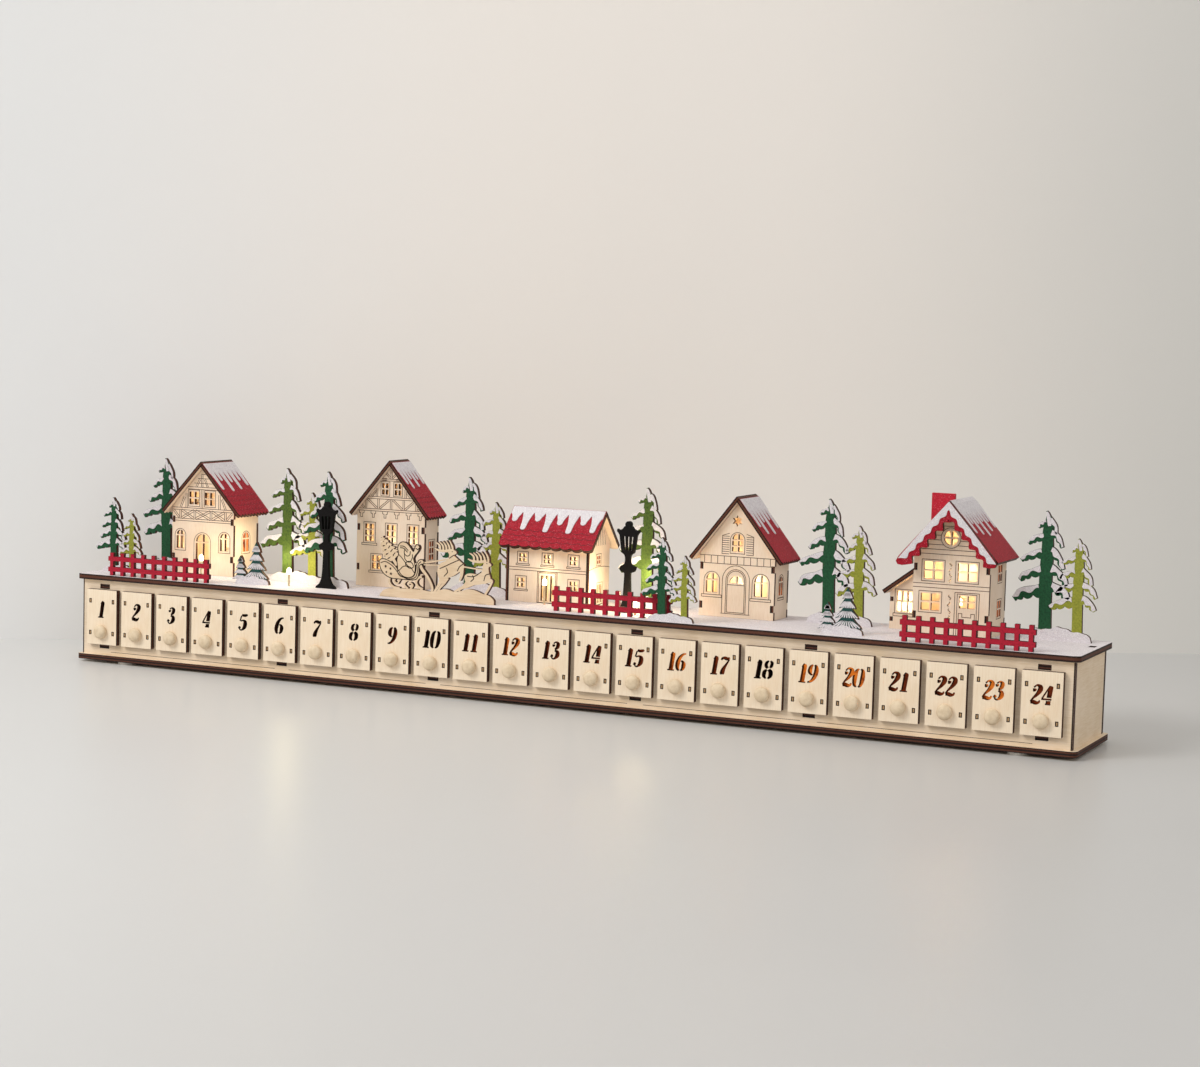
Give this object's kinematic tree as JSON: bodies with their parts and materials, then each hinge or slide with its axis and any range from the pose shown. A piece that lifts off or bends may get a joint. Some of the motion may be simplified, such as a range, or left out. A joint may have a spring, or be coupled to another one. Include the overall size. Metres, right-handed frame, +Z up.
{
  "type": "village advent calendar",
  "caption": "Long plywood case of numbered pull-out drawers with knobs under a snowy deck carrying lit cut-out houses, firs, fences, street lamps and a sleigh.",
  "frame": {"origin": "centre of the footprint, on the surface the feet stand on", "axes": "+X along the case from drawer 1 to drawer 24, the drawers open towards -Y, +Z up"},
  "size_m": [0.7592, 0.0927, 0.1591],
  "materials": {
    "ply_case": "raw laser-cut plywood, satin",
    "ply_inside": "raw plywood, matt",
    "ply_drawer": "raw plywood with burnt cut edges and a beech knob",
    "ply_house": "raw plywood with engraved lines",
    "roof_paint": "red paint with glitter and white snow paint",
    "snow_deck": "white paint with fine glitter",
    "fir_paint": "green paint with white snow on the boughs",
    "fence_paint": "red paint",
    "lamp_paint": "black paint",
    "sleigh_paint": "raw plywood with burnt edges and lines",
    "battery_plastic": "black moulded plastic",
    "switch_plastic": "black plastic slider",
    "warm_bulbs": "warm white bulbs on thin wire"
  },
  "bodies": {
    "case": {"base_board": "ply_case", "front_panel": "ply_case", "back_panel": "ply_case", "left_end_panel": "ply_case", "right_end_panel": "ply_case", "drawer_rack": "ply_inside", "deck_board": "snow_deck", "battery_case": "battery_plastic", "light_string": "warm_bulbs", "sleigh": "sleigh_paint", "house_1_walls": "ply_house", "house_1_roof": "roof_paint", "house_2_walls": "ply_house", "house_2_roof": "roof_paint", "house_3_walls": "ply_house", "house_3_roof": "roof_paint", "house_4_walls": "ply_house", "house_4_roof": "roof_paint", "house_5_walls": "ply_house", "house_5_roof": "roof_paint", "small_firs_left": "fir_paint", "fir_left": "fir_paint", "firs_house_1": "fir_paint", "fir_house_2": "fir_paint", "firs_house_3": "fir_paint", "fir_lamp": "fir_paint", "small_firs_middle": "fir_paint", "firs_house_4": "fir_paint", "firs_right": "fir_paint", "fence_1": "fence_paint", "fence_2": "fence_paint", "fence_3": "fence_paint", "street_lamp_1": "lamp_paint", "street_lamp_2": "lamp_paint"},
    "drawer_01": {"drawer_01": "ply_drawer"},
    "drawer_02": {"drawer_02": "ply_drawer"},
    "drawer_03": {"drawer_03": "ply_drawer"},
    "drawer_04": {"drawer_04": "ply_drawer"},
    "drawer_05": {"drawer_05": "ply_drawer"},
    "drawer_06": {"drawer_06": "ply_drawer"},
    "drawer_07": {"drawer_07": "ply_drawer"},
    "drawer_08": {"drawer_08": "ply_drawer"},
    "drawer_09": {"drawer_09": "ply_drawer"},
    "drawer_10": {"drawer_10": "ply_drawer"},
    "drawer_11": {"drawer_11": "ply_drawer"},
    "drawer_12": {"drawer_12": "ply_drawer"},
    "drawer_13": {"drawer_13": "ply_drawer"},
    "drawer_14": {"drawer_14": "ply_drawer"},
    "drawer_15": {"drawer_15": "ply_drawer"},
    "drawer_16": {"drawer_16": "ply_drawer"},
    "drawer_17": {"drawer_17": "ply_drawer"},
    "drawer_18": {"drawer_18": "ply_drawer"},
    "drawer_19": {"drawer_19": "ply_drawer"},
    "drawer_20": {"drawer_20": "ply_drawer"},
    "drawer_21": {"drawer_21": "ply_drawer"},
    "drawer_22": {"drawer_22": "ply_drawer"},
    "drawer_23": {"drawer_23": "ply_drawer"},
    "drawer_24": {"drawer_24": "ply_drawer"},
    "battery_door": {"battery_door": "battery_plastic"},
    "power_switch": {"power_switch": "switch_plastic"}
  },
  "joints": [
    {"name": "drawer_01_slide", "type": "slide", "parent": "case", "child": "drawer_01", "axis": [0, -1, 0], "range_m": [0, 0.038]},
    {"name": "drawer_02_slide", "type": "slide", "parent": "case", "child": "drawer_02", "axis": [0, -1, 0], "range_m": [0, 0.038]},
    {"name": "drawer_03_slide", "type": "slide", "parent": "case", "child": "drawer_03", "axis": [0, -1, 0], "range_m": [0, 0.038]},
    {"name": "drawer_04_slide", "type": "slide", "parent": "case", "child": "drawer_04", "axis": [0, -1, 0], "range_m": [0, 0.038]},
    {"name": "drawer_05_slide", "type": "slide", "parent": "case", "child": "drawer_05", "axis": [0, -1, 0], "range_m": [0, 0.038]},
    {"name": "drawer_06_slide", "type": "slide", "parent": "case", "child": "drawer_06", "axis": [0, -1, 0], "range_m": [0, 0.038]},
    {"name": "drawer_07_slide", "type": "slide", "parent": "case", "child": "drawer_07", "axis": [0, -1, 0], "range_m": [0, 0.038]},
    {"name": "drawer_08_slide", "type": "slide", "parent": "case", "child": "drawer_08", "axis": [0, -1, 0], "range_m": [0, 0.038]},
    {"name": "drawer_09_slide", "type": "slide", "parent": "case", "child": "drawer_09", "axis": [0, -1, 0], "range_m": [0, 0.038]},
    {"name": "drawer_10_slide", "type": "slide", "parent": "case", "child": "drawer_10", "axis": [0, -1, 0], "range_m": [0, 0.038]},
    {"name": "drawer_11_slide", "type": "slide", "parent": "case", "child": "drawer_11", "axis": [0, -1, 0], "range_m": [0, 0.038]},
    {"name": "drawer_12_slide", "type": "slide", "parent": "case", "child": "drawer_12", "axis": [0, -1, 0], "range_m": [0, 0.038]},
    {"name": "drawer_13_slide", "type": "slide", "parent": "case", "child": "drawer_13", "axis": [0, -1, 0], "range_m": [0, 0.038]},
    {"name": "drawer_14_slide", "type": "slide", "parent": "case", "child": "drawer_14", "axis": [0, -1, 0], "range_m": [0, 0.038]},
    {"name": "drawer_15_slide", "type": "slide", "parent": "case", "child": "drawer_15", "axis": [0, -1, 0], "range_m": [0, 0.038]},
    {"name": "drawer_16_slide", "type": "slide", "parent": "case", "child": "drawer_16", "axis": [0, -1, 0], "range_m": [0, 0.038]},
    {"name": "drawer_17_slide", "type": "slide", "parent": "case", "child": "drawer_17", "axis": [0, -1, 0], "range_m": [0, 0.038]},
    {"name": "drawer_18_slide", "type": "slide", "parent": "case", "child": "drawer_18", "axis": [0, -1, 0], "range_m": [0, 0.038]},
    {"name": "drawer_19_slide", "type": "slide", "parent": "case", "child": "drawer_19", "axis": [0, -1, 0], "range_m": [0, 0.038]},
    {"name": "drawer_20_slide", "type": "slide", "parent": "case", "child": "drawer_20", "axis": [0, -1, 0], "range_m": [0, 0.038]},
    {"name": "drawer_21_slide", "type": "slide", "parent": "case", "child": "drawer_21", "axis": [0, -1, 0], "range_m": [0, 0.038]},
    {"name": "drawer_22_slide", "type": "slide", "parent": "case", "child": "drawer_22", "axis": [0, -1, 0], "range_m": [0, 0.038]},
    {"name": "drawer_23_slide", "type": "slide", "parent": "case", "child": "drawer_23", "axis": [0, -1, 0], "range_m": [0, 0.038]},
    {"name": "drawer_24_slide", "type": "slide", "parent": "case", "child": "drawer_24", "axis": [0, -1, 0], "range_m": [0, 0.038]},
    {"name": "battery_door_hinge", "type": "hinge", "parent": "case", "child": "battery_door", "pos_m": [0, 0.04475, 0.0111], "axis": [-1, 0, 0], "range_deg": [0, 100]},
    {"name": "power_switch_slide", "type": "slide", "parent": "case", "child": "power_switch", "axis": [1, 0, 0], "range_m": [0, 0.004]}
  ]
}
